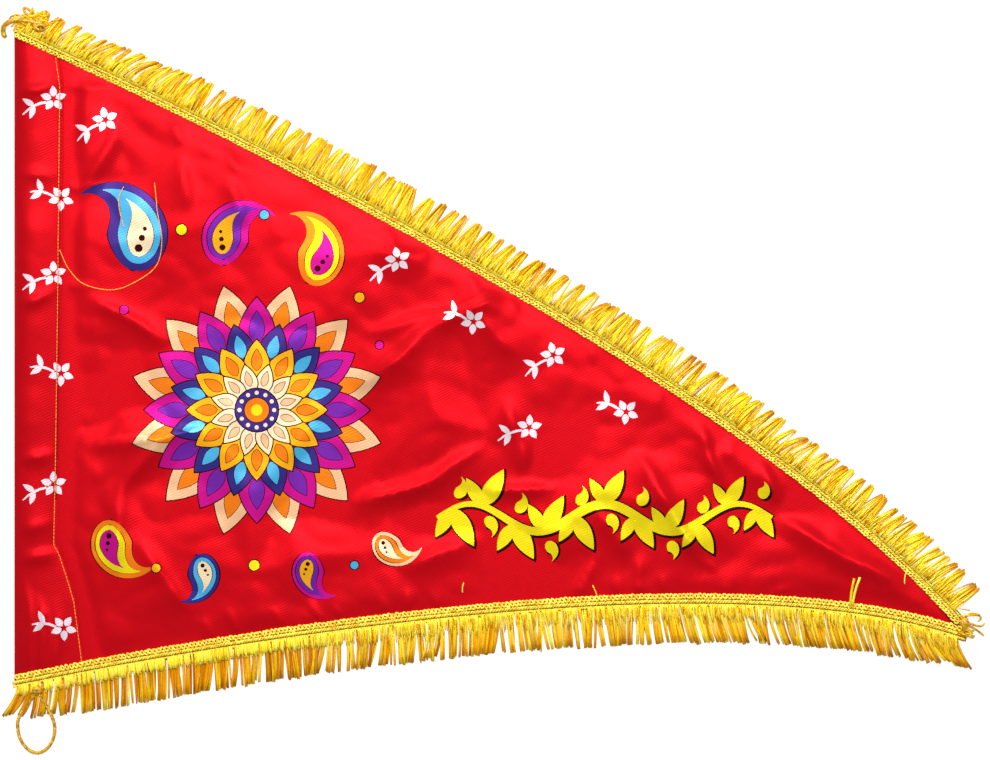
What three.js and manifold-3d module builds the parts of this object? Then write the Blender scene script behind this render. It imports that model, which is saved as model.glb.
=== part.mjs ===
// Triangular satin flag lying face up: one sheet of cloth whose hoist edge is turned
// back into a pole sleeve, fringe trim along both long edges, and cord ties at its three
// corners. Millimetres: +X from hoist to fly, +Y up the hoist, z = 0 is the surface under it.
import * as THREE from "three";
import { mergeGeometries, mergeVertices } from "three/addons/utils/BufferGeometryUtils.js";
import Module from "manifold-3d";

// Driving sizes
const CLOTH = 1.2; // thickness of one layer
const CLEAR = 0.3; // gap between pieces that touch
const HOIST = -384; // x of the fold at the hoist
const TIP = new THREE.Vector2(379, -198); // the fly tip, between the ends of the two edges
const ROWS = { low: -262, high: 300, pastEnds: 18 }; // span of the folds' grid along the hoist
const CELL = 17; // spacing of the folds' grid
const SLEEVE = { width: 34, allowance: 8, wall: 1.4, crownBias: 0.7 };
const BRAID = { overhang: 1.5, width: 11, edge: 1.0, crown: 1.8, groove: 1.2, stations: 24 };
const STRAND = {
  drop: 8, // run over which a strand comes down to the surface
  dropPerRise: 2, // more of it where the braid rides higher
  sunk: 0.1, // height of a root over the braid's underside
  inset: 0.4, // start of a root outside the cloth's edge
  slantInset: 0.6, // more of it, as a share of the half width, on a slanting strand
  clump: 4, // neighbours whose tips lean together
  converge: 2.4, // degrees between neighbours in a clump
  stray: 1.2, // degrees of unevenness
};
const STRAND_SECTION = [
  { at: "root", halfWidth: 2.6, height: 0.7 },
  { at: "knee", halfWidth: 2.6, height: 1.3 },
  { at: "tip", halfWidth: 1.5, height: 0.9 },
];
const UPPER_STRANDS = { length: 25, spread: 3, count: 126 };
const LOWER_STRANDS = { length: 29, spread: 2.5, count: 106 };

// The two long edges, each one bowed curve from the hoist to the fly tip.
const upperEdge = new THREE.CubicBezierCurve(
  new THREE.Vector2(HOIST, 283),
  new THREE.Vector2(-142, 172),
  new THREE.Vector2(226, -20),
  new THREE.Vector2(374, -190),
);
const lowerEdge = new THREE.CubicBezierCurve(
  new THREE.Vector2(HOIST, -246),
  new THREE.Vector2(-132, -195),
  new THREE.Vector2(212, -149),
  new THREE.Vector2(379, -210),
);

// Height of the sleeve's hollow along the hoist: it lies nearly closed when empty.
const sleeveGap = [
  { y: -246, gap: 2.6 },
  { y: -200, gap: 2.9 },
  { y: -150, gap: 2.0 },
  { y: -105, gap: 3.2 },
  { y: -70, gap: 1.9 },
  { y: 0, gap: 2.6 },
  { y: 70, gap: 1.8 },
  { y: 120, gap: 2.7 },
  { y: 160, gap: 2.0 },
  { y: 215, gap: 3.0 },
  { y: 283, gap: 2.4 },
];

// Folds and creases of the field: a soft ridge along each line.
const folds = [
  { name: "sleeve crease, top", x1: -330, y1: 150, x2: -300, y2: 205, height: 3.0, width: 11 },
  { name: "upper streak", x1: -252, y1: 172, x2: -246, y2: 142, height: 2.2, width: 9 },
  { name: "upper streak, fly side", x1: -213, y1: 158, x2: -203, y2: 128, height: 2.4, width: 9 },
  { name: "sleeve crease, middle", x1: -322, y1: 66, x2: -268, y2: 32, height: 3.0, width: 10 },
  { name: "sleeve crease, low", x1: -318, y1: -54, x2: -241, y2: -41, height: 3.4, width: 10 },
  { name: "low crease, bend", x1: -268, y1: -50, x2: -296, y2: -90, height: 3.0, width: 9 },
  { name: "low crease, foot", x1: -296, y1: -90, x2: -308, y2: -160, height: 3.2, width: 10 },
  { name: "bottom left facet", x1: -280, y1: -134, x2: -247, y2: -182, height: 3.8, width: 13 },
  { name: "long ridge, foot", x1: -104, y1: -4, x2: -58, y2: 36, height: 5.0, width: 12 },
  { name: "long ridge, head", x1: -58, y1: 36, x2: 4, y2: 71, height: 4.6, width: 12 },
  { name: "short branch", x1: -100, y1: 38, x2: -52, y2: 51, height: 2.6, width: 9 },
  { name: "upper middle crease", x1: -92, y1: 99, x2: -58, y2: 101, height: 2.6, width: 9 },
  { name: "upper pucker", x1: -8, y1: 52, x2: 14, y2: 28, height: 2.4, width: 9 },
  { name: "lower band, hoist side", x1: -110, y1: -96, x2: -52, y2: -80, height: 4.2, width: 12 },
  { name: "lower band, rise", x1: -52, y1: -80, x2: -14, y2: -54, height: 3.8, width: 12 },
  { name: "lower crease", x1: -2, y1: -89, x2: 48, y2: -83, height: 2.8, width: 9 },
  { name: "short upright", x1: 12, y1: -20, x2: 24, y2: -70, height: 2.8, width: 9 },
  { name: "centre facet", x1: -70, y1: -152, x2: -20, y2: -128, height: 3.4, width: 12 },
  { name: "curved fold, head", x1: 120, y1: -66, x2: 138, y2: -100, height: 4.4, width: 11 },
  { name: "curved fold, foot", x1: 138, y1: -100, x2: 160, y2: -134, height: 4.2, width: 11 },
  { name: "fly side crease", x1: 163, y1: -36, x2: 178, y2: -84, height: 3.0, width: 10 },
  { name: "seam pull", x1: 84, y1: -108, x2: 104, y2: -138, height: 3.2, width: 11 },
  { name: "tip crease", x1: 212, y1: -62, x2: 226, y2: -92, height: 3.0, width: 10 },
  { name: "tip ridge, head", x1: 236, y1: -112, x2: 282, y2: -140, height: 4.6, width: 11 },
  { name: "tip ridge, foot", x1: 282, y1: -140, x2: 322, y2: -158, height: 3.6, width: 10 },
];
const FOLD_FLOOR = 0.45; // what is lower than this lies flat
const FADE = { from: 27, to: 44 }; // distance from an edge where the folds begin

// Direction of the strands along each trim, in degrees from +X.
const upperLay = [
  { share: 0, degrees: 62 },
  { share: 0.05, degrees: 36 },
  { share: 0.1, degrees: 30 },
  { share: 0.16, degrees: 48 },
  { share: 0.35, degrees: 55 },
  { share: 0.55, degrees: 46 },
  { share: 0.8, degrees: 38 },
  { share: 1, degrees: 36 },
];
const lowerLay = [
  { share: 0, degrees: -128 },
  { share: 0.03, degrees: -98 },
  { share: 0.08, degrees: -91 },
  { share: 0.5, degrees: -90 },
  { share: 0.7, degrees: -85 },
  { share: 0.93, degrees: -84 },
  { share: 1, degrees: -66 },
];

// Cord ties: each route is drawn through its points, as it lies.
const lowerLoop = {
  radius: 1.4,
  steps: 34,
  route: [
    [-365.5, -246.5, 8.4],
    [-369.5, -254, 5.8],
    [-376, -262, 3.4],
    [-380.5, -270, 3.0],
    [-381.6, -277, 1.8],
    [-379.5, -287, 1.45],
    [-373, -295.5, 1.45],
    [-365, -298, 1.45],
    [-357.5, -294, 1.45],
    [-353, -286, 1.45],
    [-352, -277, 1.8],
    [-354.5, -268, 3.0],
    [-359, -259, 4.2],
    [-363, -252, 6.2],
    [-364.5, -246, 8.4],
  ],
};
const lowerKnot = { centre: [-365, -247, 8.5], radii: [4.2, 3.4, 3.2] };
const upperHook = {
  radius: 2.1,
  steps: 14,
  route: [
    [-366, 285, 7.0],
    [-376, 287, 7.4],
    [-386, 286.5, 6.4],
    [-392, 283, 4.4],
    [-393, 277.5, 2.4],
    [-391, 273.5, 2.2],
  ],
};
const upperLoop = {
  radius: 1.2,
  steps: 18,
  route: [
    [-362, 286, 7.0],
    [-368, 292, 5.4],
    [-374, 297, 4.0],
    [-376.5, 296.6, 3.8],
    [-375, 293, 4.6],
    [-369, 289, 6.4],
    [-365, 286, 7.0],
  ],
};
const upperKnot = { centre: [-364, 282, 7.4], radii: [5.4, 4.6, 3.1] };
const tipCurls = {
  radius: 0.9,
  steps: 10,
  routes: [
    [
      [374, -191, 3.8],
      [380, -187, 2.2],
      [386, -187.5, 1.0],
      [388.5, -190.5, 1.0],
      [386, -193.2, 1.0],
    ],
    [
      [375, -193, 3.8],
      [382, -195.4, 2.2],
      [388, -196.8, 1.0],
      [393, -197.6, 1.0],
    ],
    [
      [375, -195, 3.8],
      [382, -199, 2.2],
      [388, -202.4, 1.0],
      [391.5, -205, 1.0],
    ],
  ],
};
const tipKnot = { centre: [374.5, -194, 4.1], radii: [3.4, 4.6, 2.6] };

const satinRed = new THREE.MeshStandardMaterial({ color: 0xd60f1c, roughness: 0.42, metalness: 0 });
const goldFilm = new THREE.MeshStandardMaterial({ color: 0xf0c024, roughness: 0.3, metalness: 0.7 });
const goldCord = new THREE.MeshStandardMaterial({ color: 0xc98d18, roughness: 0.4, metalness: 0.6 });

const wasm = await Module();
wasm.setup();

// A closed geometry as a solid that can be joined and cut.
function solidOf(geometry) {
  const bare = new THREE.BufferGeometry();
  const loose = geometry.index ? geometry.toNonIndexed() : geometry;
  bare.setAttribute("position", loose.getAttribute("position"));
  const merged = mergeVertices(bare, 1e-4);
  return new wasm.Manifold(
    new wasm.Mesh({
      numProp: 3,
      vertProperties: merged.attributes.position.array,
      triVerts: new Uint32Array(merged.index.array),
    }),
  );
}

// A named mesh of a solid, with its own copy of the material.
function meshOf(name, solid, material) {
  const made = solid.getMesh();
  const geometry = new THREE.BufferGeometry();
  geometry.setAttribute("position", new THREE.BufferAttribute(made.vertProperties, 3));
  geometry.setIndex(new THREE.BufferAttribute(made.triVerts, 1));
  geometry.computeVertexNormals();
  const mesh = new THREE.Mesh(geometry, material.clone());
  mesh.name = name;
  return mesh;
}

// A box bent onto a grid: place(column, row, isTop) gives each of its points.
function gridSolid(columns, rows, place) {
  const box = new THREE.BoxGeometry(1, 1, 1, columns.length - 1, rows.length - 1, 1);
  const position = box.getAttribute("position");
  for (let i = 0; i < position.count; i++) {
    const column = columns[Math.round((position.getX(i) + 0.5) * (columns.length - 1))];
    const row = rows[Math.round((position.getY(i) + 0.5) * (rows.length - 1))];
    position.setXYZ(i, ...place(column, row, position.getZ(i) > 0));
  }
  return solidOf(box);
}

const steps = (from, to, spacing) => {
  const count = Math.max(1, Math.round((to - from) / spacing));
  return Array.from({ length: count + 1 }, (_, i) => from + ((to - from) * i) / count);
};
const smooth = (value, from, to) => THREE.MathUtils.smoothstep(value, from, to);

// The value of a table's column at a place between its rows.
function between(table, key, column, at) {
  const next = table.findIndex((row) => row[key] >= at);
  if (next === 0) return table[0][column];
  if (next < 0) return table.at(-1)[column];
  const [low, high] = [table[next - 1], table[next]];
  const share = (at - low[key]) / (high[key] - low[key]);
  return THREE.MathUtils.lerp(low[column], high[column], share);
}

// Distance from a point to an edge curve, measured square to the edge.
const EDGE_SAMPLES = 120;
const edgeTables = new Map(
  [upperEdge, lowerEdge].map((edge) => [edge, edge.getPoints(EDGE_SAMPLES)]),
);
function distanceTo(edge, x, y) {
  const table = edgeTables.get(edge);
  const height = between(table, "x", "y", x);
  const ahead = between(table, "x", "y", x + 1);
  return Math.abs(y - height) / Math.hypot(1, ahead - height);
}

// Height of the cloth's underside over the surface.
function ridge(fold, x, y) {
  const [dx, dy] = [fold.x2 - fold.x1, fold.y2 - fold.y1];
  const along = ((x - fold.x1) * dx + (y - fold.y1) * dy) / (dx * dx + dy * dy);
  const nearest = THREE.MathUtils.clamp(along, 0, 1);
  const distance = Math.hypot(x - fold.x1 - nearest * dx, y - fold.y1 - nearest * dy);
  return fold.height * Math.exp(-((distance / fold.width) ** 2));
}
const SLEEVE_END = SLEEVE.width + SLEEVE.allowance;
const SEAM_FALL = 16; // run over which the front layer comes down past the seam
function lift(x, y) {
  const across = x - HOIST;
  const seam = CLOTH * (1 - smooth(across, SLEEVE_END + 1, SLEEVE_END + SEAM_FALL));
  const raised = folds.reduce((sum, fold) => sum + ridge(fold, x, y), 0) - FOLD_FLOOR;
  const fade =
    smooth(distanceTo(upperEdge, x, y), FADE.from, FADE.to) *
    smooth(distanceTo(lowerEdge, x, y), FADE.from, FADE.to) *
    smooth(across, SLEEVE_END, SLEEVE_END + SEAM_FALL);
  return Math.max(seam, raised * fade);
}

// Height of the hollow inside the sleeve.
function hollowHeight(across, y) {
  const share = THREE.MathUtils.clamp(across / SLEEVE.width, 0, 1);
  return between(sleeveGap, "y", "gap", y) * Math.sin(Math.PI * share ** SLEEVE.crownBias);
}
function topOf(x, y) {
  const across = x - HOIST;
  return across <= SLEEVE_END ? 2 * CLOTH + hollowHeight(across, y) : lift(x, y) + CLOTH;
}

// The cloth: field, sleeve and the sleeve's back layer are one sheet.
const ROUNDING = 0.5; // taken off the fold's edge, top and bottom
const RAW_EDGE = 0.6; // run of the step at the back layer's raw edge
const sleeveColumns = [0, 0.9, 3, 6, 10, 15, 21, 27, SLEEVE.width, SLEEVE_END].map((u) => HOIST + u);
const clothColumns = [...sleeveColumns, ...steps(HOIST + SLEEVE_END + RAW_EDGE, TIP.x + CELL, CELL)];
const clothRows = steps(ROWS.low, ROWS.high, CELL);
const wholeCloth = gridSolid(clothColumns, clothRows, (x, y, isTop) => {
  const across = x - HOIST;
  const fold = across === 0 ? ROUNDING : 0;
  if (isTop) return [x, y, topOf(x, y) - fold];
  return [x, y, across <= SLEEVE_END ? fold : lift(x, y)];
});
const hollowColumns = [SLEEVE.wall, 3, 6, 10, 15, 21, 27, 32.5].map((u) => HOIST + u);
const hollowRows = steps(ROWS.low - ROWS.pastEnds, ROWS.high + ROWS.pastEnds, CELL);
const sleeveHollow = gridSolid(hollowColumns, hollowRows, (x, y, isTop) => [
  x,
  y,
  CLOTH + (isTop ? hollowHeight(x - HOIST, y) : 0),
]);
const OUTLINE_STEPS = 46;
const outline = new THREE.Shape([
  ...upperEdge.getPoints(OUTLINE_STEPS),
  TIP,
  ...lowerEdge.getPoints(OUTLINE_STEPS).reverse(),
]);
const CUTTER_HEIGHT = 40;
const cutter = new THREE.ExtrudeGeometry(outline, { depth: CUTTER_HEIGHT, bevelEnabled: false });
cutter.translate(0, 0, -CUTTER_HEIGHT / 2);
const cloth = wholeCloth.intersect(solidOf(cutter)).subtract(sleeveHollow);

const OVER_SLEEVE = 52; // length of each trim that crosses the sleeve and its seam
const SLEEVE_STATIONS = 3; // spacing of the braid's sections there
const REACH = 2; // the braid rides on the highest cloth within this reach of each of its points
const EDGE_DEPTH = 0.2; // the cloth's edge is as high as the cloth this far inside it

// One fringe: a two row braid lying on the cloth's edge, and the strands that it holds.
// side is +1 where the outside is left of the way from hoist to fly, and -1 where it is right.
function fringe(edge, side, startShare, endShare, strands, lay) {
  edge.arcLengthDivisions = 400;
  const length = edge.getLength();
  const frameAt = (distance) => {
    const share = THREE.MathUtils.clamp(distance / length, 0, 1);
    const [point, tangent] = [edge.getPointAt(share), edge.getTangentAt(share)];
    return { point, out: new THREE.Vector2(-tangent.y, tangent.x).multiplyScalar(side) };
  };
  const seatHeight = (distance, inward) => {
    const reached = [-REACH, 0, REACH].map((shift) => {
      const { point, out } = frameAt(distance + shift);
      const depth = Math.max(inward, EDGE_DEPTH);
      return topOf(point.x - out.x * depth, point.y - out.y * depth);
    });
    return Math.max(...reached) + CLEAR;
  };
  const profile = [
    { inward: -BRAID.overhang, height: BRAID.edge },
    { inward: 0.8, height: BRAID.crown },
    { inward: 3.8, height: BRAID.groove },
    { inward: 6.8, height: BRAID.crown },
    { inward: BRAID.width - BRAID.overhang, height: BRAID.edge },
  ];
  const inwards = profile.map((row) => row.inward);
  const nearSleeve = steps(startShare * length, OVER_SLEEVE, SLEEVE_STATIONS);
  const alongField = steps(OVER_SLEEVE, endShare * length, BRAID.stations).slice(1);
  const rows = side > 0 ? [...inwards].reverse() : inwards;
  const braid = gridSolid([...nearSleeve, ...alongField], rows, (distance, inward, isTop) => {
    const { point, out } = frameAt(distance);
    const thickness = isTop ? between(profile, "inward", "height", inward) : 0;
    return [
      point.x - out.x * inward,
      point.y - out.y * inward,
      seatHeight(distance, inward) + thickness,
    ];
  });

  const pitch = ((endShare - startShare) * length) / strands.count;
  const locks = Array.from({ length: strands.count }, (_, i) => {
    const distance = startShare * length + (i + 0.5) * pitch;
    const { point, out } = frameAt(distance);
    const inClump = (i % STRAND.clump) - (STRAND.clump - 1) / 2;
    const degrees =
      between(lay, "share", "degrees", i / (strands.count - 1)) +
      side * inClump * STRAND.converge +
      STRAND.stray * Math.sin(i * 1.7);
    const uneven = Math.cos(i * 2.4) - inClump ** 2 / 2;
    const run = strands.length + strands.spread * uneven;
    const root = seatHeight(distance, EDGE_DEPTH) + STRAND.sunk;
    const drop = STRAND.drop + STRAND.dropPerRise * (root - CLOTH - CLEAR);
    const heading = new THREE.Vector2(1, 0).rotateAround(
      new THREE.Vector2(),
      THREE.MathUtils.degToRad(degrees),
    );
    const slant = Math.abs(heading.clone().cross(out));
    const inset = STRAND.inset + STRAND.slantInset * slant * STRAND_SECTION[0].halfWidth;
    const start = point.clone().addScaledVector(out, inset);
    return strandGeometry(start, heading, [0, drop, run], [root, 0, 0]);
  });
  return solidOf(mergeGeometries(locks)).add(braid);
}

// A strand of three sides, flat underneath: it leaves the braid, comes down and lies level.
function strandGeometry(start, heading, distances, heights) {
  const corners = [];
  const left = new THREE.Vector2(-heading.y, heading.x);
  STRAND_SECTION.forEach(({ halfWidth, height }, i) => {
    const centre = start.clone().addScaledVector(heading, distances[i]);
    const [a, b] = [halfWidth, -halfWidth].map((w) => centre.clone().addScaledVector(left, w));
    corners.push([a.x, a.y, heights[i]], [b.x, b.y, heights[i]]);
    corners.push([centre.x, centre.y, heights[i] + height]);
  });
  const faces = [[0, 1, 2]];
  for (let ring = 0; ring < STRAND_SECTION.length - 1; ring++)
    for (let side = 0; side < 3; side++) {
      const [a, b] = [ring * 3 + side, ring * 3 + ((side + 1) % 3)];
      faces.push([a, a + 3, b], [b, a + 3, b + 3]);
    }
  const last = (STRAND_SECTION.length - 1) * 3;
  faces.push([last, last + 2, last + 1]);
  const positions = faces.flat().flatMap((corner) => corners[corner]);
  const geometry = new THREE.BufferGeometry();
  geometry.setAttribute("position", new THREE.Float32BufferAttribute(positions, 3));
  return geometry;
}

// A round cord along a smooth route.
function cordSolid(route, radius, count) {
  const SIDES = 8;
  const section = new THREE.Shape(
    Array.from({ length: SIDES }, (_, i) => {
      const angle = (2 * Math.PI * i) / SIDES;
      return new THREE.Vector2(radius * Math.cos(angle), radius * Math.sin(angle));
    }),
  );
  const path = new THREE.CatmullRomCurve3(route.map((point) => new THREE.Vector3(...point)));
  return solidOf(
    new THREE.ExtrudeGeometry(section, { steps: count, bevelEnabled: false, extrudePath: path }),
  );
}

// A drawn knot, which is a squashed ball.
function knotSolid({ centre, radii }) {
  const [AROUND, UP] = [10, 7];
  const ball = new THREE.SphereGeometry(1, AROUND, UP);
  ball.scale(...radii);
  ball.translate(...centre);
  return solidOf(ball);
}

const upperTie = knotSolid(upperKnot)
  .add(cordSolid(upperHook.route, upperHook.radius, upperHook.steps))
  .add(cordSolid(upperLoop.route, upperLoop.radius, upperLoop.steps));
const lowerTie = knotSolid(lowerKnot).add(
  cordSolid(lowerLoop.route, lowerLoop.radius, lowerLoop.steps),
);
const tipTie = tipCurls.routes.reduce(
  (joined, route) => joined.add(cordSolid(route, tipCurls.radius, tipCurls.steps)),
  knotSolid(tipKnot),
);

const UPPER_ENDS = [0.002, 0.985];
const LOWER_ENDS = [0.002, 0.998];
const flag = new THREE.Group();
flag.name = "triangular_flag";
flag.add(
  meshOf("flag_cloth", cloth, satinRed),
  meshOf("upper_fringe", fringe(upperEdge, 1, ...UPPER_ENDS, UPPER_STRANDS, upperLay), goldFilm),
  meshOf("lower_fringe", fringe(lowerEdge, -1, ...LOWER_ENDS, LOWER_STRANDS, lowerLay), goldFilm),
  meshOf("upper_tie", upperTie, goldCord),
  meshOf("lower_tie", lowerTie, goldCord),
  meshOf("tip_tie", tipTie, goldCord),
);

export default flag;
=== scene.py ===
# Triangular flag of printed red satin, edged with gold film fringe, lying face up.
# Lengths are worked out in millimetres in the part's frame and turned to metres as each mesh is made.
import bisect
import math
import random

import bmesh
import bpy
from mathutils import Matrix, Vector, geometry, noise
from mathutils.bvhtree import BVHTree


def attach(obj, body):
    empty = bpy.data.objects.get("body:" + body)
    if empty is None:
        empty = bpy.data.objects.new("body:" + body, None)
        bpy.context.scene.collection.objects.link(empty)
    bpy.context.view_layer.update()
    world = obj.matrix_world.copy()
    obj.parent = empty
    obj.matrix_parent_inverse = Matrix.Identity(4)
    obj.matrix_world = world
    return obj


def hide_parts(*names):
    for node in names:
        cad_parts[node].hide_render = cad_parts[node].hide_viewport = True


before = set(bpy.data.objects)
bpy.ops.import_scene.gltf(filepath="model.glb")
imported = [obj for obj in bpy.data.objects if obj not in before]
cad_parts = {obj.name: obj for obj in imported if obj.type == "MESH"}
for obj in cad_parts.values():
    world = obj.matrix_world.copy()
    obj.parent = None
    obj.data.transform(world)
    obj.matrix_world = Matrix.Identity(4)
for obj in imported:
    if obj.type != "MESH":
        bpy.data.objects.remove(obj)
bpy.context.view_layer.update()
MM = 0.001

# Surface, light and camera
# The flag lies on a plain white surface under soft studio light. The camera is straight
# above it and sees 0.8 mm to a pixel, 990 pixels across.
def linear(hex_code):
    channels = [int(hex_code[i : i + 2], 16) / 255 for i in (1, 3, 5)]
    return [c / 12.92 if c <= 0.04045 else ((c + 0.055) / 1.055) ** 2.4 for c in channels] + [1]


def add_node(tree, kind, links=None, **settings):
    node = tree.nodes.new(kind)
    for key, value in settings.items():
        if key.startswith("in_"):
            socket = key[3:].replace("_", " ")
            node.inputs[int(socket) if socket.isdigit() else socket].default_value = value
        else:
            setattr(node, key, value)
    for socket, source in (links or {}).items():
        tree.links.new(source, node.inputs[socket])
    return node


def new_material(name, **shader_settings):
    material = bpy.data.materials.new(name)
    material.use_nodes = True
    tree = material.node_tree
    shader = tree.nodes["Principled BSDF"]
    for key, value in shader_settings.items():
        shader.inputs[key.replace("_", " ")].default_value = value
    return material, tree, shader


def object_from(bm, name, material):
    mesh = bpy.data.meshes.new(name)
    for face in bm.faces:
        face.smooth = True
    bm.to_mesh(mesh)
    bm.free()
    mesh.materials.append(material)
    made = bpy.data.objects.new(name, mesh)
    bpy.context.scene.collection.objects.link(made)
    return made


# matt white card with a little light of its own: an even white without shine, with faint shadows
paper_white, paper_tree, paper_shader = new_material("matt_white_card", Roughness=0.9)
paper_shader.inputs["Base Color"].default_value = linear("#8e8e8e")
paper_shader.inputs["Emission Color"].default_value = linear("#ffffff")
paper_shader.inputs["Emission Strength"].default_value = 0.8
paper_coords = add_node(paper_tree, "ShaderNodeTexCoord")
fibre = add_node(
    paper_tree, "ShaderNodeTexNoise", {"Vector": paper_coords.outputs["Object"]}, in_Scale=900.0,
    in_Detail=3.0,
)
tooth = add_node(
    paper_tree, "ShaderNodeBump", {"Height": fibre.outputs["Fac"]}, in_Strength=0.05,
    in_Distance=0.2 * MM,
)
paper_tree.links.new(tooth.outputs["Normal"], paper_shader.inputs["Normal"])
floor_bm = bmesh.new()
FLOOR_HALF = 12
bmesh.ops.create_grid(floor_bm, x_segments=1, y_segments=1, size=FLOOR_HALF)
floor = object_from(floor_bm, "floor", paper_white)

camera_data = bpy.data.cameras.new("camera")
camera = bpy.data.objects.new("camera", camera_data)
bpy.context.scene.collection.objects.link(camera)
bpy.context.scene.camera = camera
CAMERA_HEIGHT = 3.0
VIEW_WIDTH = 0.792
SENSOR = 36
camera.location = (0, 0, CAMERA_HEIGHT)
camera_data.sensor_width = SENSOR
camera_data.lens = SENSOR * CAMERA_HEIGHT / VIEW_WIDTH

# low light from beyond the upper edge rakes the folds, and a softbox over it fills them
SUN_FROM = Vector((-0.35, 1.0, 0.5))
SOFTBOX_AT = Vector((0.1, 1.0, 2.45))
sun_data = bpy.data.lights.new("window_light", "SUN")
sun_data.energy = 1.5
sun_data.angle = 0.35
sun_data.color = linear("#fff9f2")[:3]
sun = bpy.data.objects.new("window_light", sun_data)
sun.rotation_euler = (-SUN_FROM).to_track_quat("-Z", "Y").to_euler()
bpy.context.scene.collection.objects.link(sun)
box_data = bpy.data.lights.new("high_softbox", "AREA")
box_data.shape = "RECTANGLE"
box_data.size = 1.1
box_data.size_y = 0.8
box_data.energy = 74
box_data.color = linear("#fffdf8")[:3]
softbox = bpy.data.objects.new("high_softbox", box_data)
softbox.location = SOFTBOX_AT
softbox.rotation_euler = (-SOFTBOX_AT).to_track_quat("-Z", "Y").to_euler()
bpy.context.scene.collection.objects.link(softbox)
world = bpy.data.worlds.new("studio")
world.use_nodes = True
world.node_tree.nodes["Background"].inputs["Color"].default_value = linear("#ffffff")
world.node_tree.nodes["Background"].inputs["Strength"].default_value = 0.32
bpy.context.scene.world = world
bpy.context.scene.view_settings.view_transform = "Standard"

# Cut and folds of the cloth
# One sheet of polyester satin, cut as a bowed triangle. Its hoist edge is turned back
# 42 mm and stitched down as a pole sleeve. It lies flat but for the folds listed here.
CLOTH = 1.2
HOIST = -384
UPPER = geometry.interpolate_bezier((HOIST, 283), (-142, 172), (226, -20), (374, -190), 500)
LOWER = geometry.interpolate_bezier((HOIST, -246), (-132, -195), (212, -149), (379, -210), 500)
TIP = (379, -198)
UPPER_X = [point.x for point in UPPER]
LOWER_X = [point.x for point in LOWER]
SEAM_FALL = 16
ALLOWANCE = 8
# y and width of the sleeve: its seam strays outwards at the lower end
SLEEVE_WIDTH = [
    (-246, 55), (-221, 53), (-177, 47.2), (-158, 41.6), (-139, 35.2), (-132, 31.2), (-56, 32.8),
    (68, 34.4), (152, 35.2), (234, 36), (263, 32),
]
SLEEVE_GAP = [
    (-246, 2.6), (-200, 2.9), (-150, 2.0), (-105, 3.2), (-70, 1.9), (0, 2.6),
    (70, 1.8), (120, 2.7), (160, 2.0), (215, 3.0), (283, 2.4),
]
# x and y of each end, height and half width of each ridge; the main folds come first
FOLDS = [
    (-330, 150, -300, 205, 3.0, 11), (-252, 172, -246, 142, 2.2, 9), (-213, 158, -203, 128, 2.4, 9),
    (-322, 66, -268, 32, 3.0, 10), (-318, -54, -241, -41, 3.4, 10), (-268, -50, -296, -90, 3.0, 9),
    (-296, -90, -308, -160, 3.2, 10), (-280, -134, -247, -182, 3.8, 13), (-104, -4, -58, 36, 5.0, 12),
    (-58, 36, 4, 71, 4.6, 12), (-100, 38, -52, 51, 2.6, 9), (-92, 99, -58, 101, 2.6, 9),
    (-8, 52, 14, 28, 2.4, 9), (-110, -96, -52, -80, 4.2, 12), (-52, -80, -14, -54, 3.8, 12),
    (-2, -89, 48, -83, 2.8, 9), (12, -20, 24, -70, 2.8, 9), (-70, -152, -20, -128, 3.4, 12),
    (120, -66, 138, -100, 4.4, 11), (138, -100, 160, -134, 4.2, 11), (163, -36, 178, -84, 3.0, 10),
    (84, -108, 104, -138, 3.2, 11), (212, -62, 226, -92, 3.0, 10), (236, -112, 282, -140, 4.6, 11),
    (282, -140, 322, -158, 3.6, 10),
]
# the long and the steep side of a fold beside its half width, and how keen its crest is
LONG_SIDE, STEEP_SIDE = 1.25, 0.7
KEEN = 1.5


def table_value(rows, at):
    if at <= rows[0][0]:
        return rows[0][1]
    for (low, first), (high, second) in zip(rows, rows[1:]):
        if at <= high:
            return first + (second - first) * (at - low) / (high - low)
    return rows[-1][1]


def smooth(value, start, end):
    share = min(1, max(0, (value - start) / (end - start)))
    return share * share * (3 - 2 * share)


def edge_height(points, xs, x):
    after = min(max(bisect.bisect_left(xs, x), 1), len(xs) - 1)
    a, b = points[after - 1], points[after]
    return a.y + (b.y - a.y) * (x - a.x) / (b.x - a.x)


def edge_distance(points, xs, x, y):
    height = edge_height(points, xs, x)
    rise = edge_height(points, xs, x + 1) - height
    return abs(y - height) / math.hypot(1, rise)


def ridge(row, x, y):
    """Height of one fold: a keen crest with a steep side and a long one, tapering at both ends."""
    x1, y1, x2, y2, height, width = row
    reach = 4 * width
    in_x = min(x1, x2) - reach < x < max(x1, x2) + reach
    in_y = min(y1, y2) - reach < y < max(y1, y2) + reach
    if not (in_x and in_y):
        return 0
    dx, dy = x2 - x1, y2 - y1
    length = math.hypot(dx, dy)
    share = ((x - x1) * dx + (y - y1) * dy) / length**2
    away = ((x - x1) * dy - (y - y1) * dx) / length
    overrun = width * 1.3 / length
    taper = smooth(share, -overrun, 0.32) * (1 - smooth(share, 0.68, 1 + overrun))
    side = away / (width * (LONG_SIDE if away > 0 else STEEP_SIDE))
    return 1.35 * height * taper * math.exp(-(math.sqrt(side * side + 0.03) - 0.17) * KEEN)


# noise_vector takes its offsets from this seed, so every run bends the folds in the same way
noise.seed_set(5)

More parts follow.
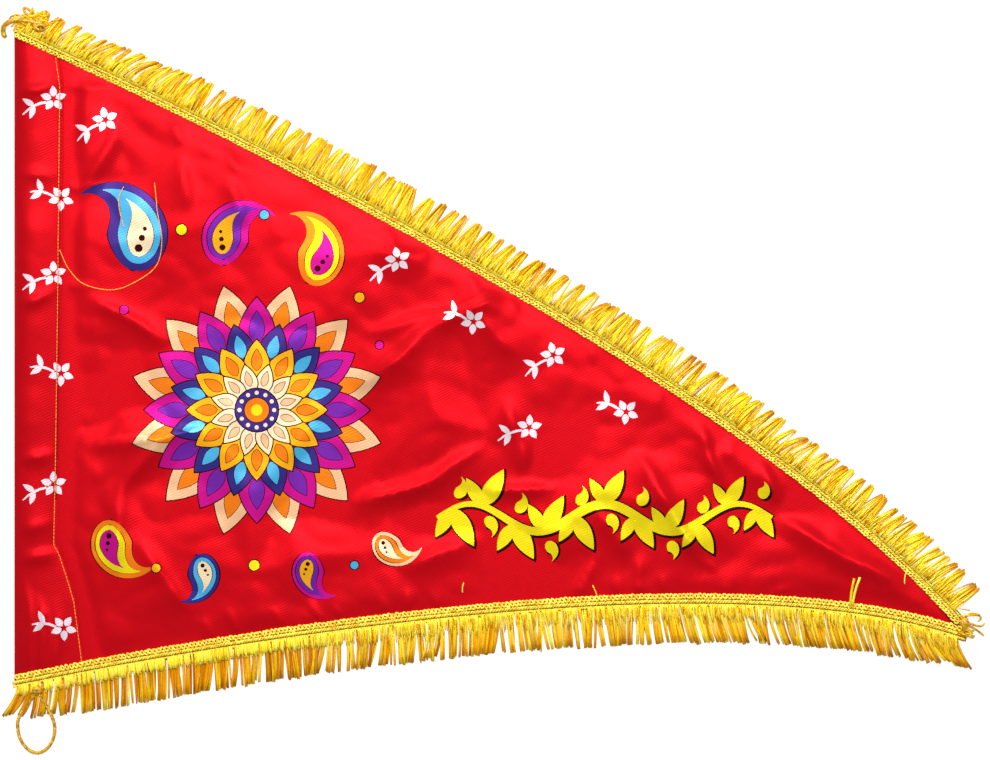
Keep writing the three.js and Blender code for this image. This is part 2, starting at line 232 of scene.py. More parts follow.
# flat facets with keen edges between them, as folding for storage leaves in satin: how wide and
# high they are, how far they sink so that the lower ones rest on the surface, and how far their
# edges are rounded
FACET = 50
FACET_RISE = 7.0
RESTING = 2.0
ROUNDING = 1.6
facet_chooser = random.Random(11)
facet_points = []
for i in range(-9, 10):
    for k in range(-8, 9):
        jitter = Vector((facet_chooser.uniform(-0.42, 0.42), facet_chooser.uniform(-0.42, 0.42)))
        facet_points.append((Vector((i, k)) + jitter) * FACET)
facet_cut = geometry.delaunay_2d_cdt(facet_points, [], [], 0, 1e-4)
facet_tops = [Vector((p.x, p.y, facet_chooser.uniform(0, FACET_RISE))) for p in facet_cut[0]]
facets = BVHTree.FromPolygons(facet_tops, facet_cut[2])


def crumple(x, y):
    """Height of the facets here, their edges rounded, with finer uneven folds between."""
    height = 0
    for dx, dy in ((0, 0), (ROUNDING, 0), (-ROUNDING, 0), (0, ROUNDING), (0, -ROUNDING)):
        hit = facets.ray_cast(Vector((x + dx, y + dy, 50)), Vector((0, 0, -1)))[0]
        height += hit.z / 5
    fold = abs(noise.noise(Vector((x / 34, y / 27, 4.2))))
    return height - RESTING + 1.5 * fold + 0.25 * noise.noise(Vector((x / 13, y / 11, 9.6)))


def lift(x, y):
    """How far the cloth's underside stands off the surface outside the sleeve."""
    across = x - HOIST
    sleeve_end = table_value(SLEEVE_WIDTH, y) + ALLOWANCE
    seam = CLOTH * (1 - smooth(across, sleeve_end + 1, sleeve_end + SEAM_FALL))
    inside = min(edge_distance(UPPER, UPPER_X, x, y), edge_distance(LOWER, LOWER_X, x, y))
    wander = noise.noise_vector(Vector((x / 48, y / 48, 3.3))) * 5
    wx, wy = x + wander.x, y + wander.y
    raised = sum(ridge(row, wx, wy) for row in FOLDS)
    raised += crumple(wx, wy)
    raised = max(0, raised) * smooth(inside, 7, 26) * smooth(across, sleeve_end, sleeve_end + SEAM_FALL)
    fine = sum(ridge(row, wx, wy) for row in CREASES) * smooth(inside, 9, 14)
    fine *= smooth(across, sleeve_end, sleeve_end + 4)
    return max(seam, raised) + max(0, fine)


def hollow_height(across, y):
    """Height of the room inside the sleeve, at a distance across it from the hoist edge."""
    share = min(1, max(0, across / table_value(SLEEVE_WIDTH, y)))
    swell = math.sin(math.pi * share**0.7)
    x = HOIST + across
    wander = noise.noise_vector(Vector((x / 30, y / 30, 8.1))) * 4
    dents = 1.7 * sum(ridge(row, x + wander.x, y + wander.y) for row in SLEEVE_CREASES)
    dents += 0.4 * crumple(x, y)
    return max(0, table_value(SLEEVE_GAP, y) + dents) * swell


def cloth_top(x, y):
    across = x - HOIST
    if across < table_value(SLEEVE_WIDTH, y) + ALLOWANCE:
        return 2 * CLOTH + hollow_height(across, y)
    return lift(x, y) + CLOTH


def stitch_groove(x, y):
    """How far the stitches pull the cloth down beside the sleeve's seam."""
    away = x - HOIST - table_value(SLEEVE_WIDTH, y) - 1.1
    return 0.62 * math.exp(-((away / 1.1) ** 2)) * smooth(y, -236, -200)


# finer creases and puckers, which only the visible cloth shows
CREASES = [
    (-346, 236, -303, 233, 0.9, 3.5), (-346, 154, -313, 158, 0.9, 4), (-346, 74, -322, 76, 0.8, 4),
    (-320, 62, -318, 18, 0.9, 4), (-318, 60, -272, 34, 0.8, 3), (-318, -52, -300, -46, 0.9, 3.5),
    (-300, -46, -236, -40, 0.9, 3.5), (-92, 7, -60, 38, 0.9, 4), (-52, 38, 2, 72, 0.9, 4),
    (-94, -94, -54, -81, 1.0, 4), (-54, -81, -30, -62, 0.9, 4), (-2, -89, 48, -83, 0.9, 3),
    (12, -24, 13, -44, 0.8, 3), (25, -48, 25, -72, 0.8, 3), (122, -77, 138, -101, 1.0, 4),
    (138, -101, 158, -139, 1.0, 4), (158, -139, 176, -151, 0.8, 4), (163, -36, 178, -86, 0.8, 3.5),
    (213, -60, 224, -86, 0.8, 3), (242, -117, 282, -142, 0.3, 8), (282, -142, 325, -158, 0.3, 8),
    (-228, -212, -233, -192, 1.2, 4), (-204, -210, -212, -186, 1.2, 4), (-168, -204, -176, -182, 1.3, 4),
    (-150, -202, -150, -186, 1.0, 4), (-136, -200, -146, -178, 1.2, 4), (-120, -198, -126, -182, 1.1, 3.5),
    (-88, -196, -92, -178, 1.2, 4), (-76, -194, -70, -170, 1.3, 4), (-44, -190, -48, -172, 1.0, 4),
    (64, -178, 82, -136, 1.6, 6), (116, -178, 115, -142, 1.6, 6), (98, -176, 96, -158, 1.0, 4),
    (140, -176, 134, -160, 1.0, 4), (186, -178, 182, -164, 0.9, 4), (232, -182, 226, -168, 0.9, 4),
    (-256, 206, -250, 186, 1.1, 4), (-212, 186, -206, 168, 1.1, 4), (-86, 124, -82, 100, 1.1, 4),
    (-58, 112, -56, 96, 1.0, 4), (-18, 88, -14, 72, 1.1, 4), (14, 70, 16, 54, 1.0, 4),
    (76, 32, 78, 16, 0.9, 4), (134, -6, 132, -22, 0.9, 4), (190, -44, 186, -60, 0.9, 4),
]

# creases across the pole sleeve, the last of them the upright wrinkles at its foot
SLEEVE_CREASES = [
    (-378, 230, -348, 240, 1.1, 6), (-378, 164, -342, 160, 0.8, 6), (-378, 62, -350, 74, 1.1, 6),
    (-378, -64, -338, -56, 1.2, 6), (-378, -118, -340, -110, 0.9, 8), (-378, -144, -350, -136, 1.2, 6),
    (-372, -160, -374, -238, 1.3, 4), (-362, -172, -361, -240, 1.2, 4), (-350, -176, -350, -236, 1.0, 4),
]


# Printed ornament
# The print on the satin: a many petalled rosette with curled drops round it, a yellow
# leafy garland with a black edge, and small white sprigs. Its edges are cut into the mesh.
INK = {
    "ground": "#cd0c1a", "black": "#120a0c", "magenta": "#c4158c", "violet": "#6c2aa8",
    "navy": "#1d2f86", "sky": "#3fb4e6", "orange": "#f2801c", "amber": "#f9b21e",
    "lemon": "#f4e11c", "cream": "#f8e2bc", "peach": "#efbf94", "white": "#f3e9f6",
}
shapes = []


def outline_of(centre, angle, spine, half_widths):
    """A closed outline round a spine of points, as wide at each as half_widths says."""
    turn = Matrix.Rotation(angle, 2)
    left, right = [], []
    for i, (point, half) in enumerate(zip(spine, half_widths)):
        before, after = spine[max(0, i - 1)], spine[min(len(spine) - 1, i + 1)]
        ahead = (after - before).normalized()
        side = Vector((-ahead.y, ahead.x)) * half
        left.append(point + side)
        right.append(point - side)
    return [Vector(centre) + turn @ p for p in left + right[::-1]]


def petal(centre, angle, start, length, width, edge=0.0, steps=13):
    shares = [i / steps for i in range(steps + 1)]
    spine = [Vector((start - edge + s * (length + 2.6 * edge), 0)) for s in shares]
    halves = [(width / 2 + edge) * math.sin(math.pi * s**0.8) ** 0.85 for s in shares]
    halves[0] = halves[-1] = 0.05
    return outline_of(centre, angle, spine, halves)


def disc(centre, radius, edge=0.0, steps=28):
    ring = [2 * math.pi * i / steps for i in range(steps)]
    return [Vector(centre) + Vector((math.cos(a), math.sin(a))) * (radius + edge) for a in ring]


def drop(centre, angle, length, width, bend, edge=0.0, steps=30):
    """A curled drop: a round head that narrows to a bent tail."""
    point, spine, halves, before = Vector((0, 0)), [], [], 0
    for i in range(steps + 1):
        share = (i / steps) ** 1.7
        curl = bend * share**1.6
        point = point + Vector((math.cos(curl), math.sin(curl))) * length * (share - before)
        before = share
        spine.append(point.copy())
        head = math.sqrt(max(0, 1 - (1 - share / 0.34) ** 2)) if share < 0.34 else 1
        halves.append((width / 2 + edge) * head * (1 - smooth(share, 0.3, 1.06)))
    spine[0] = spine[0] - Vector((edge, 0))
    halves[0] = 0.05
    halves[-1] = max(halves[-1], 0.3)
    return outline_of(centre, angle, spine, halves)


def stroke(points, half_widths, edge=0.0):
    return outline_of((0, 0), 0, [Vector(p) for p in points], [h + edge for h in half_widths])


def turned(outline):
    """The outline with its points in anticlockwise order."""
    pairs = zip(outline, outline[1:] + outline[:1])
    return outline if sum(a.x * b.y - b.x * a.y for a, b in pairs) > 0 else outline[::-1]


def draw(outline, ink):
    shapes.append((turned(outline), ink))


def rosette(centre):
    rings = [
        ("peach", "orange", 12, 44, 58, 32, 0.5), ("magenta", "violet", 12, 40, 50, 29, 0.0),
        ("navy", "sky", 12, 32, 38, 22, 0.5), ("amber", "orange", 12, 22, 34, 20, 0.0),
        ("cream", "peach", 12, 13, 24, 13, 0.5),
    ]
    for ink, inner, count, start, length, width, offset in rings:
        for i in range(count):
            angle = 2 * math.pi * (i + offset) / count
            draw(petal(centre, angle, start, length, width, edge=0.9), "black")
            draw(petal(centre, angle, start, length, width), ink)
            draw(petal(centre, angle, start + length * 0.28, length * 0.5, width * 0.42, edge=0.5), "black")
            draw(petal(centre, angle, start + length * 0.28, length * 0.5, width * 0.42), inner)
    for radius, ink in ((18, "black"), (17, "navy"), (10.5, "black"), (9.7, "orange"), (4.5, "lemon")):
        draw(disc(centre, radius), ink)
    for i in range(12):
        angle = 2 * math.pi * i / 12
        bead = Vector(centre) + Vector((math.cos(angle), math.sin(angle))) * 13.8
        draw(disc(bead, 1.7, steps=10), "cream")


def paisley(centre, degrees, size, bend, inks):
    """A curled drop in three bands, each edged in black, with a row of dots up its middle."""
    angle = math.radians(degrees)
    ahead = Vector((math.cos(angle), math.sin(angle)))
    for share, start, width, edge, ink in [
        (1.0, 0, 0.5, 1.0, inks[0]), (0.78, 0.06, 0.36, 0.7, inks[1]), (0.52, 0.12, 0.22, 0.6, inks[2]),
    ]:
        foot = Vector(centre) + ahead * size * start
        draw(drop(foot, angle, size * share, size * width, bend * share, edge=edge), "black")
        draw(drop(foot, angle, size * share, size * width, bend * share), ink)
    for place, radius in ((0.19, 0.034), (0.28, 0.026), (0.36, 0.018)):
        draw(disc(Vector(centre) + ahead * size * place, size * radius, steps=12), "black")


def sprig(centre, degrees):
    angle = math.radians(degrees)
    along = Vector((math.cos(angle), math.sin(angle)))
    bloom = Vector(centre) + along * 8
    for i in range(5):
        draw(petal(bloom, angle + 2 * math.pi * i / 5, 1.8, 8.6, 5.6, steps=8), "white")
    stem = [Vector(centre) + along * s + Vector((0, -0.02 * (s + 4) ** 2)) for s in (2, -3, -8, -13, -18)]
    draw(stroke(stem, [0.9, 1.0, 1.0, 0.9, 0.5]), "white")
    for side in (1, -1):
        draw(petal(stem[2], angle + math.pi - side * 0.9, 0, 11, 4.6, steps=8), "white")


def garland(shift, edge, ink):
    """The vine with its leaves and buds, drawn in one ink; shift moves it for the dark edge."""
    waves, start, end = 2.5, -46, 222

    def vine(share):
        x = start + (end - start) * share
        return Vector((x, -110 + 11 * math.sin(2 * math.pi * waves * share))) + Vector(shift)

    spine = [vine(i / 60) for i in range(61)]
    draw(stroke(spine, [1.6 + 2.2 * math.sin(math.pi * i / 60) for i in range(61)], edge), ink)
    for i in range(11):
        share = (i + 0.5) / 11
        foot, side = vine(share), 1 if i % 2 else -1
        reach = 35 - 9 * share
        draw(petal(foot, side * 1.05, 0, reach, reach * 0.42, edge), ink)
        draw(petal(foot, side * 2.1, 1, reach * 0.74, reach * 0.32, edge), ink)
        bud = foot + Vector((reach * 0.05, -side * 10))
        draw(drop(bud, -side * 0.5, reach * 0.55, 9.5, -side * 1.8, edge), ink)


rosette((-190, -24))
blue_inks, flame_inks = ("navy", "sky", "cream"), ("orange", "lemon", "magenta")
plum_inks, peach_inks = ("magenta", "violet", "amber"), ("peach", "orange", "cream")
paisley((-290, 88), 72, 96, 2.3, blue_inks)
paisley((-216, 92), 96, 74, -2.3, plum_inks)
paisley((-150, 78), 52, 74, 2.3, flame_inks)
paisley((-306, -112), 262, 66, 2.3, flame_inks)
paisley((-238, -140), 300, 50, -2.2, blue_inks)
paisley((-146, -138), 250, 50, 2.2, plum_inks)
paisley((-92, -122), 290, 46, 2.2, peach_inks)
for x, y, radius, ink in [
    (-250, 120, 4.2, "lemon"), (-184, 132, 3.6, "sky"), (-108, 66, 4.0, "amber"),
    (-92, 28, 3.2, "magenta"), (-296, 56, 3.4, "magenta"), (-270, -150, 3.4, "amber"),
    (-192, -148, 4.2, "lemon"), (-112, -148, 3.2, "sky"),
]:
    draw(disc((x, y), radius, 0.9, steps=16), "black")
    draw(disc((x, y), radius, steps=16), ink)
for x, y, slant in [
    (-360, 222, 20), (-354, 148, -20), (-360, 82, 20), (-354, 8, -20), (-360, -86, 20), (-352, -196, -15),
    (-318, 204, 30), (-84, 92, 30), (-24, 50, -25), (40, 16, 30), (98, -22, -25), (20, -40, 15),
]:
    sprig((x, y), slant)
garland((0.9, -0.9), 1.3, "black")
garland((0, 0), 0, "lemon")

# Satin sheet
# The visible cloth, one sheet from the turned back edge, round the fold and out to the fly
# tip, with the print's edges in its mesh. It is 0.7 mm thick in the middle of its solid.
SHEET = 0.7
# share of the light that the sleeve's double cloth gives back beside a single sheet on white, painted into
# the sleeve's colour as shade
SLEEVE_PAINTED_SHADE = 0.87
# painted shade: the colour is darkened where the cloth dips out of the light in the first millimetre past
# the seam
SHADED_BAND_WIDTH, SEAM_PAINTED_SHADE = 1.9, 0.55
BEND_RADIUS = CLOTH / 2
BEND_HALF = math.pi * BEND_RADIUS / 2
# spacing of the mesh's rows and columns, and how far they stay inside the cut edge
GRID = 3.3
EDGE_CLEAR = 1.4


def sheet_point(along, y):
    """Where a point of the flat cut lies: along is its distance from the fold, less than 0 at the back."""
    reach = abs(along)
    if reach <= BEND_HALF:
        turn = along / BEND_RADIUS
        return Vector((HOIST + BEND_RADIUS * (1 - math.cos(turn)), y, CLOTH + BEND_RADIUS * math.sin(turn)))
    across = reach - BEND_HALF + BEND_RADIUS
    if along < 0:
        return Vector((HOIST + across, y, CLOTH / 2))
    sleeve_end = table_value(SLEEVE_WIDTH, y) + ALLOWANCE
    if across < sleeve_end:
        rise = hollow_height(across - BEND_RADIUS, y) - stitch_groove(HOIST + across, y)
        return Vector((HOIST + across, y, 1.5 * CLOTH + rise))
    return Vector((HOIST + across, y, lift(HOIST + across, y) + CLOTH / 2))


def cut_edge(points, first, last):
    """The part of a long edge between two places along the flag, one mesh step from point to point."""
    picked, so_far = [], None
    for point in points:
        if first <= point.x <= last and (so_far is None or (point - so_far).length >= GRID):
            picked.append((point.x - HOIST, point.y))
            so_far = point
    return picked


back_low = table_value(SLEEVE_WIDTH, -246) + ALLOWANCE
back_high = table_value(SLEEVE_WIDTH, 263) + ALLOWANCE
lower_back = [(-a, y) for a, y in cut_edge(LOWER, HOIST + 0.5, HOIST + back_low)][::-1]
upper_back = [(-a, y) for a, y in cut_edge(UPPER, HOIST + 0.5, HOIST + back_high)]
turned_edge = [(-(table_value(SLEEVE_WIDTH, y) + ALLOWANCE), y) for y in range(255, -233, -4)]
boundary = lower_back + cut_edge(LOWER, HOIST, 400)
boundary += [(TIP[0] - HOIST, TIP[1])] + cut_edge(UPPER, HOIST, 400)[::-1] + upper_back + turned_edge
points = [Vector(p) for p in boundary]
polygons = [list(range(len(points)))]
polygon_inks = ["ground"]
for outline, ink in shapes:
    first = len(points)
    points += [Vector((p.x - HOIST, p.y)) for p in outline]
    polygons.append(list(range(first, len(points))))
    polygon_inks.append(ink)
fold_rows = [-241 + GRID * i for i in range(158)]
for column in (-2.2, -1.4, -0.94, -0.47, 0, 0.47, 0.94, 1.4, 2.2):
    points += [Vector((column, y)) for y in fold_rows]
for offset in (-1.2, 0.0, 1.1, 2.2, 3.4):
    points += [Vector((table_value(SLEEVE_WIDTH, y) + offset, y)) for y in fold_rows if y < 258]
for i in range(-18, 232):
    column = 4 + GRID * i if i >= 0 else -(4 + GRID * (-i - 1))
    x = HOIST + abs(column)
    if x > 378:
        continue
    low = edge_height(LOWER, LOWER_X, x) + EDGE_CLEAR
    high = edge_height(UPPER, UPPER_X, x) - EDGE_CLEAR
    steps = round((high - low) / GRID + 1)
    rows = [low + (high - low) * k / steps for k in range(steps + 1)]
    if column < 0:
        rows = [y for y in rows if -column < table_value(SLEEVE_WIDTH, y) + ALLOWANCE - 1.5]
    points += [Vector((column, y)) for y in rows]
cut = geometry.delaunay_2d_cdt(points, [], polygons, 1, 1e-4, True)
flat_points, _, triangles, _, _, inside_of = cut

cloth_bm = bmesh.new()
ink_layer = cloth_bm.loops.layers.float_color.new("ink")
flat_layer = cloth_bm.loops.layers.uv.new("flat_cut")
verts = [cloth_bm.verts.new(sheet_point(*p) * MM) for p in flat_points]
ink_colours = {name: linear(code) for name, code in INK.items()}
for corners, owners in zip(triangles, inside_of):
    if 0 not in owners:
        continue
    face = cloth_bm.faces.new([verts[i] for i in corners])
    colour = ink_colours[polygon_inks[max(owners)]]
    middle = sum((flat_points[i] for i in corners), Vector((0, 0))) / 3
    past_seam = middle.x - table_value(SLEEVE_WIDTH, middle.y)
    # painted shade: the whole sleeve's colour is darkened
    if past_seam < 0:
        colour = [channel * SLEEVE_PAINTED_SHADE for channel in colour[:3]] + [1]
    # painted shade in a strip of cloth beside the seam
    elif past_seam < SHADED_BAND_WIDTH and -96 < middle.y < 240:
        colour = [channel * SEAM_PAINTED_SHADE for channel in colour[:3]] + [1]
    for loop, corner in zip(face.loops, corners):
        loop[ink_layer] = colour
        loop[flat_layer].uv = flat_points[corner] * MM
bmesh.ops.remove_doubles(cloth_bm, verts=cloth_bm.verts, dist=0.0001)
bmesh.ops.dissolve_degenerate(cloth_bm, dist=0.00005, edges=cloth_bm.edges)
bmesh.ops.triangulate(cloth_bm, faces=cloth_bm.faces)

# polyester satin, woven with long floats: it gives back light in its own colour, so slopes
# that face the light glow and slopes that turn away fall dark, and the print shares that sheen
satin, satin_tree, satin_shader = new_material(
    "printed_satin", Roughness=0.42, Anisotropic=0.3, Metallic=0.34,
)
satin_shader.inputs["Specular IOR Level"].default_value = 0.6
satin_shader.inputs["Specular Tint"].default_value = linear("#ff4040")
ink_read = add_node(satin_tree, "ShaderNodeAttribute", attribute_name="ink")
flat_uv = add_node(satin_tree, "ShaderNodeUVMap", uv_map="flat_cut")
# fine ribs of the weave, drawn 2 mm apart so that they show; they rise across the flag, and
# the uneven stretch of the cloth bends them
slanted = add_node(
    satin_tree, "ShaderNodeMapping", {"Vector": flat_uv.outputs["UV"]}, in_Rotation=(0, 0, -0.42),
)
thread = add_node(
    satin_tree, "ShaderNodeTexWave", {"Vector": slanted.outputs["Vector"]},
    wave_type="BANDS", bands_direction="Y", in_Scale=157.0, in_Distortion=5.0,
    in_Detail=2.0, in_Detail_Scale=0.35,
)
slub = add_node(
    satin_tree, "ShaderNodeTexNoise", {"Vector": flat_uv.outputs["UV"]}, in_Scale=160.0, in_Detail=4.0,
)
shade = add_node(satin_tree, "ShaderNodeMapRange", {"Value": slub.outputs["Fac"]}, in_3=0.77, in_4=0.91)
toned = add_node(
    satin_tree, "ShaderNodeVectorMath", {0: ink_read.outputs["Color"], "Scale": shade.outputs["Result"]},
    operation="SCALE",
)
weave = add_node(
    satin_tree, "ShaderNodeBump", {"Height": thread.outputs["Fac"]}, in_Strength=0.26,
    in_Distance=0.12 * MM,
)
satin_tree.links.new(toned.outputs["Vector"], satin_shader.inputs["Base Color"])
satin_tree.links.new(weave.outputs["Normal"], satin_shader.inputs["Normal"])
tangent = add_node(satin_tree, "ShaderNodeTangent", direction_type="UV_MAP", uv_map="flat_cut")
satin_tree.links.new(tangent.outputs["Tangent"], satin_shader.inputs["Tangent"])
cloth = object_from(cloth_bm, "satin_cloth", satin)
thick = cloth.modifiers.new("thickness", "SOLIDIFY")
thick.thickness = SHEET * MM
thick.offset = 0
# the slim triangles beside the print's edges count for little in the shading
even = cloth.modifiers.new("even_shading", "WEIGHTED_NORMAL")
even.mode = "FACE_AREA"
even.keep_sharp = False
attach(cloth, "root")
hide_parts("flag_cloth")

# Trimmings
# Two machine made fringes of cut gold film, one along each long edge, each with a crochet
# head: a row of links next to the cloth, a two ply cord, and a thin cord over the film's roots.
def along_edge(points):
    lengths = [0]
    for a, b in zip(points, points[1:]):
        lengths.append(lengths[-1] + (b - a).length)
    return points, lengths


UPPER_EDGE = along_edge(UPPER)
LOWER_EDGE = along_edge(LOWER)


def edge_place(edge, side, at, out):
    """Point of the trimming at a length along the edge and out beyond the cloth; its own directions."""
    line, lengths = edge
    after = min(max(bisect.bisect_left(lengths, at), 1), len(line) - 1)
    a, b = line[after - 1], line[after]
    ahead = Vector(((b - a).x, (b - a).y, 0)).normalized()
    outward = Vector((-ahead.y, ahead.x, 0)) * side
    share = (at - lengths[after - 1]) / (lengths[after] - lengths[after - 1])
    base = a.lerp(b, share)
    inner = Vector((base.x, base.y, 0)) - outward * 4
    top = cloth_top(inner.x, inner.y)
    if side > 0:
        top += 2.2 * smooth(at, lengths[-1] - 26, lengths[-1] - 10)
    return Vector((base.x, base.y, 0)) + outward * out, ahead, outward, top


def through(points, steps=8):
    """A smooth line through the points."""
    points = [Vector(p) for p in points]
    line = []
    for i in range(len(points) - 1):
        a, b = points[i], points[i + 1]
        before, after = points[max(0, i - 1)], points[min(len(points) - 1, i + 2)]
        line += geometry.interpolate_bezier(a, a + (b - before) / 6, b - (after - a) / 6, b, steps + 1)[:-1]
    return line + [points[-1]]


def plies(line, count, offset, pitch):
    """The lines of the strands that are twisted round a line."""
    strands = [[] for _ in range(count)]
    run = 0
    for i, point in enumerate(line):
        ahead = (line[min(len(line) - 1, i + 1)] - line[max(0, i - 1)]).normalized()
        across = ahead.cross(Vector((0, 0, 1))).normalized()
        up = across.cross(ahead)
        run += (point - line[max(0, i - 1)]).length
        for k, strand in enumerate(strands):
            turn = 2 * math.pi * (run / pitch + k / count)
            strand.append(point + (across * math.cos(turn) + up * math.sin(turn)) * offset)
    return strands


def tubes(name, lines, radius, material, resolution=1, taper=None):
    """A mesh of round cords along lines; taper is how the radius changes from start to end."""
    data = bpy.data.curves.new(name, "CURVE")
    data.dimensions = "3D"
    data.bevel_depth = radius * MM
    data.bevel_resolution = resolution
    data.use_fill_caps = True
    for line in lines:
        spline = data.splines.new("POLY")
        spline.points.add(len(line) - 1)
        for i, (point, place) in enumerate(zip(spline.points, line)):
            point.co = (place.x * MM, place.y * MM, place.z * MM, 1)
            point.radius = table_value(taper, i / (len(line) - 1)) if taper else 1
    drawn = bpy.data.objects.new(name, data)
    bpy.context.scene.collection.objects.link(drawn)
    mesh = bpy.data.meshes.new_from_object(drawn)
    bpy.data.objects.remove(drawn)
    mesh.name = name
    mesh.materials.clear()
    mesh.materials.append(material)
    mesh.shade_smooth()
    made = bpy.data.objects.new(name, mesh)
    bpy.context.scene.collection.objects.link(made)
    return made


def joined(name, objects):
    """One object that holds the meshes of several."""
    bm = bmesh.new()
    materials = []
    for piece in objects:
        material = piece.data.materials[0]
        if material not in materials:
            materials.append(material)
        first = len(bm.faces)
        bm.from_mesh(piece.data)
        bm.faces.ensure_lookup_table()
        for face in bm.faces[first:]:
            face.material_index = materials.index(material)
        bpy.data.objects.remove(piece)
    made = object_from(bm, name, materials[0])
    for material in materials[1:]:
        made.data.materials.append(material)
    return made


def spun(material_parts, light, dark, fleck_size, depth):
    """Flecks of two colours and a rough surface, as spun thread has; sizes in millimetres."""
    material, tree, shader = material_parts
    coords = add_node(tree, "ShaderNodeTexCoord")
    fleck = add_node(
        tree, "ShaderNodeTexNoise", {"Vector": coords.outputs["Object"]}, in_Scale=0.8 / (fleck_size * MM),
        in_Detail=3.0,
    )
    share = add_node(tree, "ShaderNodeMapRange", {"Value": fleck.outputs["Fac"]}, in_1=0.4, in_2=0.62)
    tone = add_node(
        tree, "ShaderNodeMix", {0: share.outputs["Result"]}, data_type="RGBA", in_6=linear(light),
        in_7=linear(dark),
    )
    rough = add_node(
        tree, "ShaderNodeBump", {"Height": fleck.outputs["Fac"]}, in_Strength=0.6, in_Distance=depth * MM,
    )
    tree.links.new(tone.outputs[2], shader.inputs["Base Color"])
    tree.links.new(rough.outputs["Normal"], shader.inputs["Normal"])
    return material


# metallised yarn, crocheted: lemon gold with paler and duller flecks, painted glints and painted dull spots
# where its film turns
braid_gold = spun(
    new_material("metallised_yarn_braid", Roughness=0.4, Metallic=0.05), "#fced54", "#dfa81a", 1.8, 0.3,
)
# the woven tape under it, seen only as dark olive dots between the yarns: a real tape, coloured dark as
# painted shade for the gaps between the yarns
tape_painted_shade = spun(new_material("woven_tape_painted_shade", Roughness=0.7), "#7d7414", "#5a4a0c", 1.2, 0.2)
# a link's ring and thread radius, how far apart the links are, and how far in from the cloth's edge
LINK_RADIUS, YARN_RADIUS = 1.22, 0.78
LINK_STEP = 3.3
LINK_ROW = -8.1
# of each plied cord: place out from the cloth's edge, height, ply offset, pitch and ply radius
BRAID_CORDS = [(-4.1, 1.2, 0.95, 4.6, 0.78), (-1.2, 1.05, 0.7, 3.8, 0.58)]


def braid(name, edge, side, start, end, scale, node):
    """One crocheted head; scale is its width beside the full 11 mm."""
    link = bmesh.new()
    bmesh.ops.create_circle(link, segments=6, radius=YARN_RADIUS)
    bmesh.ops.rotate(link, cent=(0, 0, 0), matrix=Matrix.Rotation(math.pi / 2, 3, "X"), verts=link.verts)
    bmesh.ops.translate(link, vec=(LINK_RADIUS, 0, 0), verts=link.verts)
    bmesh.ops.spin(
        link, geom=link.verts[:] + link.edges[:], cent=(0, 0, 0), axis=(0, 0, 1), angle=2 * math.pi,
        steps=10, use_merge=True,
    )
    bmesh.ops.remove_doubles(link, verts=link.verts, dist=1e-4)
    bmesh.ops.scale(link, vec=(1.35, 1.0, 1.0), verts=link.verts)
    bmesh.ops.recalc_face_normals(link, faces=link.faces)
    link_mesh = bpy.data.meshes.new("link")
    link.to_mesh(link_mesh)
    link.free()
    chooser = random.Random(name)
    row = bmesh.new()
    at = start
    while at < end:
        out = scale * (LINK_ROW + chooser.uniform(-0.3, 0.3))
        place, ahead, outward, top = edge_place(edge, side, at, out)
        lift_off = chooser.uniform(-0.15, 0.3)
        first = len(row.verts)
        row.from_mesh(link_mesh)
        row.verts.ensure_lookup_table()
        tilt = 0.5 + chooser.uniform(-0.35, 0.35)
        spread = chooser.uniform(0.85, 1.2)
        for vert in row.verts[first:]:
            x, y, z = vert.co
            x, y = x * math.cos(tilt) - y * math.sin(tilt), x * math.sin(tilt) + y * math.cos(tilt)
            y *= 1.2 * scale
            level = top + 0.95 + z * 0.9 + 0.3 * x + lift_off
            spot = place + ahead * x * spread + outward * y
            vert.co = Vector((spot.x, spot.y, level)) * MM
        at += LINK_STEP + chooser.uniform(-0.5, 0.5)
    links = object_from(row, "links", braid_gold)
    count = round((end - start) / 0.9)
    stops = [start - 4.5 + (end - start + 4.5) * i / count for i in range(count + 1)]
    cords = []
    for out, rise, ply_offset, pitch, ply_radius in BRAID_CORDS:
        spots = [edge_place(edge, side, at, scale * out) for at in stops]
        line = [Vector((place.x, place.y, top + rise)) for place, _, _, top in spots]
        twist = plies(line, 2, scale * ply_offset, pitch)
        cords.append(tubes("cord", twist, scale * ply_radius, braid_gold))
    tape = bmesh.new()
    bmesh.ops.create_grid(tape, x_segments=300, y_segments=3, size=1)
    for vert in tape.verts:
        along, out = (vert.co.x + 1) / 2, 0.6 - (0.2 + 10.2 * scale) * (1 - vert.co.y) / 2
        place, _, _, top = edge_place(edge, side, start + (end - start) * along, out)
        vert.co = Vector((place.x, place.y, top + 0.55)) * MM
    solid_tape = object_from(tape, "tape", tape_painted_shade)
    made = joined(name, [links, *cords, solid_tape])
    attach(made, "root")
    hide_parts(node)


braid("upper_braid", UPPER_EDGE, 1, 5, UPPER_EDGE[1][-1] + 2, 0.8, "upper_fringe")
braid("lower_braid", LOWER_EDGE, -1, 4, LOWER_EDGE[1][-1] * 0.995, 1, "lower_fringe")

# Film strands
# Strands of gold coated film 1 to 2.7 mm wide, pale at their folded roots and deeper gold
# at their cut ends, partly painted light and shade. Above they are gathered in square cut fingers, below
# they hang evenly.
# the film's own yellow and gold, with pale copies as painted highlight and amber and brown copies as painted
# shade, for what the glossy film reflects
FILM = {
    "pale": linear("#fff25a"), "yellow": linear("#ffe024"), "gold": linear("#fdb414"),
    "amber": linear("#e08c08"), "brown": linear("#b86406"),
}
